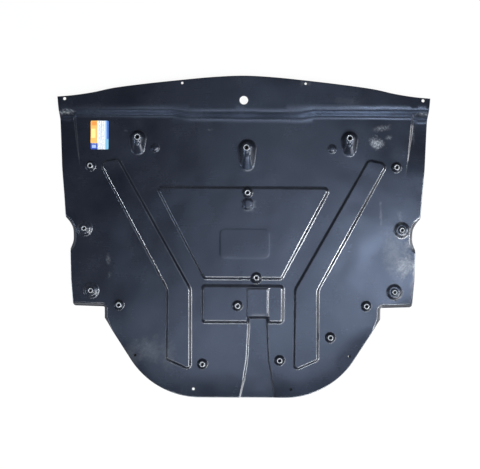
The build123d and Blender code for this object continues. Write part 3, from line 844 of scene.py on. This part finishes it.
def floor_material(stage):
    """Pale floor that keeps a soft shadow and glows white for the rays that see it directly, with patches
    painted dark as shade under the sheet that do not glow.
    """
    made, tree, shader = new_material("studio_floor")
    shader.inputs["Roughness"].default_value = 0.9
    glow = add(tree, "ShaderNodeEmission", {"Strength": 1.0})
    place = add(tree, "ShaderNodeSeparateXYZ", {0: add(tree, "ShaderNodeTexCoord").outputs["Object"]})
    open_floor = 1.0
    for x, y, half_width, half_depth in PAINTED_SHADE_PATCHES:
        field = field_of(tree, place, (x, y), (half_width, half_depth))
        open_floor = math_of(tree, "SUBTRACT", open_floor, field, clamp=True)
    # The patches take the painted shade colour, the open floor its own pale colour
    colour = mix_of(tree, open_floor, (*stage.painted_shade_colour, 1.0), (*stage.floor_colour, 1.0))
    tree.links.new(colour, shader.inputs["Base Color"])
    path = add(tree, "ShaderNodeLightPath").outputs
    seen = math_of(tree, "ADD", path["Is Camera Ray"], path["Is Glossy Ray"])
    seen = math_of(tree, "ADD", seen, path["Is Transmission Ray"], clamp=True)
    share = math_of(tree, "MULTIPLY", math_of(tree, "MULTIPLY", seen, stage.floor_glow), open_floor)
    both = add(tree, "ShaderNodeMixShader", {0: share, 1: shader.outputs[0], 2: glow.outputs[0]})
    end = next(node for node in tree.nodes if node.type == "OUTPUT_MATERIAL")
    tree.links.new(both.outputs[0], end.inputs[0])
    return made


# What a user may change

def length_of(name, description, default, low, high):
    """A setting in metres."""
    return FloatProperty(name=name, description=description, default=default, unit="LENGTH", min=low,
                         max=high)


def share_of(name, description, default, low=0.0):
    """A setting from 0 to 1."""
    return FloatProperty(name=name, description=description, default=default, subtype="FACTOR", min=low,
                         max=1)


def colour_of(name, description, default):
    """A colour setting."""
    return FloatVectorProperty(name=name, description=description, default=default, subtype="COLOR", size=3,
                               min=0, max=1)


class ShieldForm(bpy.types.PropertyGroup):
    wall: length_of("Wall", "Thickness of the sheet", 0.003, 0.001, 0.006)
    body: length_of("Body height", "Height of the sheet's flat body over the floor", 0.011, 0.006, 0.02)
    edge_drop: length_of("Edge drop", "How far the side flanges and rolled edges lie lower", 0.008, 0.0, 0.01)
    flange_rise: length_of("Flange rise", "Height of the front flange over the body", 0.012, 0.0, 0.02)
    rib_height: length_of("Rib height", "Height of the two long ribs over the body", 0.008, 0.002, 0.012)
    panel_height: length_of("Panel height", "Height of the raised panels over the body", 0.006, 0.002, 0.01)
    step_height: length_of("Step height", "Height of the step on the small panel", 0.0085, 0.002, 0.012)
    channel_depth: length_of("Channel depth", "Depth of the drain channel in the body", 0.0055, 0.001, 0.008)
    softness: length_of("Softness", "How widely the bends of the sheet are rounded", 0.002, 0.0005, 0.006)
    waviness: length_of("Waviness", "Depth of the slow waves in the flat places", 0.0008, 0.0, 0.002)
    droop: length_of("Droop", "How far the sheet sinks towards its rear edge", 0.003, 0.0, 0.005)


class ShieldFinish(bpy.types.PropertyGroup):
    plastic_colour: colour_of("Plastic", "Colour of the moulded plastic", (0.0082, 0.0098, 0.0152))
    sheen_colour: colour_of("Sheen", "Tint of the plastic's gloss", (0.43, 0.54, 0.78))
    # The scuffed colour also paints the highlight patches near the right edge
    worn_and_highlight_colour: colour_of("Scuffed", "Colour of scuffed plastic", (0.40, 0.42, 0.44))
    # The rim colour paints a highlight on the crests around the screw holes
    rim_highlight_colour: colour_of("Rim", "Colour of the rubbed rims of the screw holes", (0.85, 0.87, 0.90))
    dust_colour: colour_of("Dust", "Colour of dust on the plastic", (0.075, 0.080, 0.088))
    paper_colour: colour_of("Paper", "Colour of the label's bare paper", (0.90, 0.92, 0.94))
    ripple: length_of("Ripple", "Depth of the slow ripple seen in the gloss", 0.0015, 0.0, 0.01)
    roughness: share_of("Roughness", "Roughness of clean plastic", 0.26, 0.1)
    bend_gloss: share_of("Gloss of the bends", "How much glossier the bends are than the flats", 1.0)
    # The rims share sets how strongly that painted highlight shows
    rims: share_of("Rims", "How pale the rims of the screw holes are rubbed", 0.85)
    dust: share_of("Dust amount", "How much dust lies on the plastic", 0.12)
    wear: share_of("Wear amount", "How pale the ridges are rubbed", 0.08)
    # Strength of the scuffs and of the painted highlight patches
    scuffs: share_of("Scuffs", "Strength of the scuffed patches", 0.8)


class ShieldStage(bpy.types.PropertyGroup):
    floor_colour: colour_of("Floor", "Colour of the studio floor", (0.85, 0.85, 0.85))
    # The shaded floor colour is painted shade: the floor under the shield is coloured dark where only shade
    # falls
    painted_shade_colour: colour_of("Shaded floor", "Colour of the mat under the shield", (0.012, 0.014, 0.018))
    floor_glow: share_of("Floor glow", "Share of plain white seen in the floor", 0.93)
    camera_height: length_of("Camera height", "Height of the camera over the floor", 3.0, 0.5, 6.0)
    camera_lens: FloatProperty(name="Camera lens", description="Focal length of the camera in millimetres",
                               default=80.1, unit="CAMERA", min=20, max=200)


# Pieces

class SHIELD_OT_form_sheet(bpy.types.Operator):
    """Forms the moulded plastic sheet from its plan and heights"""
    bl_idname = "shield.form_sheet"
    bl_label = "Form the sheet"

    def execute(self, context):
        form = context.scene.shield_form
        material = plastic_material(context.scene.shield_finish)
        plan = sheet_plan_object(form)
        given = {"Wall": form.wall, "Crease angle": CREASE_ANGLE, "Material": material}
        sheet = apply_tree(plan, form_sheet_tree(), given, "moulded_sheet")
        lay_normals(sheet)
        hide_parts(SHEET_NODE)
        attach(sheet, "root")
        return {"FINISHED"}


class SHIELD_OT_lay_label(bpy.types.Operator):
    """Lays the paper label on the sheet, with one corner a little curled"""
    bl_idname = "shield.lay_label"
    bl_label = "Lay the label"

    def execute(self, context):
        low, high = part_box(LABEL_NODE)
        width, depth = (high[0] - low[0]) / MM, (high[1] - low[1]) / MM
        middle = ((high[0] + low[0]) / 2 / MM, (high[1] + low[1]) / 2 / MM)
        edge = densify(box_loop(*middle, width, depth, 2.5), 2.5)
        inner = np.stack(np.meshgrid(np.linspace(-0.46, 0.46, 14) * width + middle[0],
                                     np.linspace(-0.47, 0.47, 22) * depth + middle[1]), -1).reshape(-1, 2)
        flat = [Vector(p) for p in np.vstack([edge, inner])]
        rim = [(k, (k + 1) % len(edge)) for k in range(len(edge))]
        found, _, faces, *_ = delaunay_2d_cdt(flat, rim, [], 1, 1e-4, False)
        at = np.array([tuple(v) for v in found])
        towards = (at[:, 0] - middle[0]) / width + (at[:, 1] - middle[1]) / depth
        curl = np.clip((towards - 0.62) / 0.38, 0, 1)
        top = low[2] + LABEL_LIFT + LABEL_CURL * curl ** 2
        top += LABEL_WAVE * np.sin(at[:, 0] / 7) * np.sin(at[:, 1] / 9)
        points = [(x * MM, y * MM, z - sunk) for sunk in (0, PAPER) for (x, y), z in zip(at, top)]
        total = len(at)
        loops = [tuple(f) for f in faces] + [tuple(v + total for v in reversed(f)) for f in faces]
        sides = dict.fromkeys((a, b) for face in faces for a, b in zip(face, face[1:] + face[:1]))
        loops += [(b, a, a + total, b + total) for a, b in sides if (b, a) not in sides]
        mesh = bpy.data.meshes.new("paper_label_piece")
        mesh.from_pydata(points, [], loops)
        mesh.validate()
        mesh.materials.append(label_material(context.scene.shield_finish, low, high))
        label = new_object("paper_label_piece", mesh)
        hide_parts(LABEL_NODE)
        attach(label, "root")
        return {"FINISHED"}


STRIP_COLOUR = (0.84, 0.92, 1.0)

# Soft lights: name, place, where it points, width, height, watts
LIGHTS = [("key", (0.76, -0.15, 2.2), (0.30, 0.0, 0.0), 0.28, 0.28, 12.0)]
LIGHTS += [(name, (x, y, 2.2), (0.3 * x, 0.3 * y, 0.0), width, height, watts)
           for name, x, y, width, height, watts in (
               ("overhead", 0.0, 0.0, 0.45, 0.45, 2.2), ("right_overhead", 0.4, 0.0, 0.45, 0.45, 2.5),
               ("far_right_overhead", 0.8, 0.0, 0.45, 0.45, 1.0),
               ("rear_overhead", 0.0, -0.5, 0.45, 0.45, 4.3),
               ("right_rear_overhead", 0.4, -0.5, 0.45, 0.45, 5.2),
               ("left_rear_overhead", -0.4, -0.6, 0.45, 0.6, 3.6),
               ("front_overhead", 0.2, 0.5, 0.8, 0.45, 2.8))]
LIGHTS += [("right_strip", (1.63, 0.0, 1.63), (0.2, 0.0, 0.0), 0.42, 0.42, 15.0),
           ("right_rear_strip", (1.44, -0.77, 1.63), (0.2, 0.0, 0.0), 0.42, 0.42, 14.0),
           ("rear_right_strip", (0.66, -1.49, 1.63), (0.0, -0.1, 0.0), 0.36, 0.36, 8.0),
           ("rear_strip", (0.0, -1.63, 1.63), (0.0, 0.0, 0.0), 1.4, 0.18, 12.0),
           ("left_rear_strip", (-2.10, -0.66, 1.63), (-0.33, 0.07, 0.0), 0.9, 0.28, 30.0),
           ("low_left_panel", (-3.4, -1.62, 0.43), (-0.35, 0.1, 0.0), 0.6, 0.45, 4.0)]
LIGHTS += [(name, (x, y, 0.7), (0.0, 0.0, 0.0), 1.4, 0.9, watts) for name, x, y, watts in (
    ("rear_right_panel", 1.6, -1.6, 23.0), ("right_panel", 2.2, 0.0, 14.0), ("left_panel", -2.2, 0.0, 4.5),
    ("front_left_panel", -1.6, 1.6, 3.5), ("front_panel", 0.0, 2.2, 3.5),
    ("front_right_panel", 1.6, 1.6, 1.5))]
WORLD_LIGHT, FLOOR_HALF = 0.04, 15
CAMERA_PLACE, CAMERA_TURN = (-0.0084, 0.0070), 0.35


class SHIELD_OT_set_stage(bpy.types.Operator):
    """Sets the floor, the soft lights, the world and the camera"""
    bl_idname = "shield.set_stage"
    bl_label = "Set the stage"

    def execute(self, context):
        scene = context.scene
        stage = scene.shield_stage
        mesh = bpy.data.meshes.new("studio_floor")
        corners = [(x * FLOOR_HALF, y * FLOOR_HALF, -MM) for x, y in ((-1, -1), (1, -1), (1, 1), (-1, 1))]
        mesh.from_pydata(corners, [], [(0, 1, 2, 3)])
        mesh.materials.append(floor_material(stage))
        floor = new_object("studio_floor", mesh)
        for name, place, target, width, height, watts in LIGHTS:
            lamp = bpy.data.lights.new(name, "AREA")
            lamp.shape = "RECTANGLE"
            lamp.size, lamp.size_y, lamp.energy = width, height, watts
            lamp.color = STRIP_COLOUR if name.endswith("strip") else (1, 1, 1)
            held = new_object(name, lamp)
            held.location = place
            held.rotation_euler = (Vector(target) - Vector(place)).to_track_quat("-Z", "Y").to_euler()
        world = bpy.data.worlds.new("studio")
        world.use_nodes = True
        tree = world.node_tree
        tree.nodes.clear()
        seen = add(tree, "ShaderNodeLightPath").outputs["Is Camera Ray"]
        both = add(tree, "ShaderNodeMixShader", {0: seen})
        for socket, strength in ((1, WORLD_LIGHT), (2, 1.0)):
            light = add(tree, "ShaderNodeBackground", {"Color": (1, 1, 1, 1), "Strength": strength})
            tree.links.new(light.outputs[0], both.inputs[socket])
        end = add(tree, "ShaderNodeOutputWorld")
        tree.links.new(both.outputs[0], end.inputs[0])
        scene.world = world
        camera = bpy.data.cameras.new("camera")
        camera.sensor_width, camera.lens = 36.0, stage.camera_lens
        held = new_object("camera", camera)
        held.location = (*CAMERA_PLACE, stage.camera_height)
        held.rotation_euler = (0.0, 0.0, radians(CAMERA_TURN))
        scene.camera = held
        scene.view_settings.view_transform = "Standard"
        return {"FINISHED"}


class SHIELD_PT_pieces(bpy.types.Panel):
    bl_label = "Engine splash shield"
    bl_idname = "SHIELD_PT_pieces"
    bl_space_type = "VIEW_3D"
    bl_region_type = "UI"
    bl_category = "Shield"

    def draw(self, context):
        scene = context.scene
        for title, group, operator in (("Sheet", scene.shield_form, SHIELD_OT_form_sheet),
                                       ("Finish", scene.shield_finish, SHIELD_OT_lay_label),
                                       ("Stage", scene.shield_stage, SHIELD_OT_set_stage)):
            box = self.layout.box()
            box.label(text=title)
            for name in group.__annotations__:
                box.prop(group, name)
            box.operator(operator.bl_idname)


CLASSES = [ShieldForm, ShieldFinish, ShieldStage, SHIELD_OT_form_sheet, SHIELD_OT_lay_label,
           SHIELD_OT_set_stage, SHIELD_PT_pieces]
SETTINGS = {"shield_form": ShieldForm, "shield_finish": ShieldFinish, "shield_stage": ShieldStage}


def register():
    for entry in CLASSES:
        bpy.utils.register_class(entry)
    for name, group in SETTINGS.items():
        setattr(bpy.types.Scene, name, PointerProperty(type=group))


def unregister():
    for name in SETTINGS:
        delattr(bpy.types.Scene, name)
    for entry in reversed(CLASSES):
        bpy.utils.unregister_class(entry)


def main():
    register()
    bpy.ops.shield.form_sheet()
    bpy.ops.shield.lay_label()
    bpy.ops.shield.set_stage()


if __name__ == "__main__":
    main()
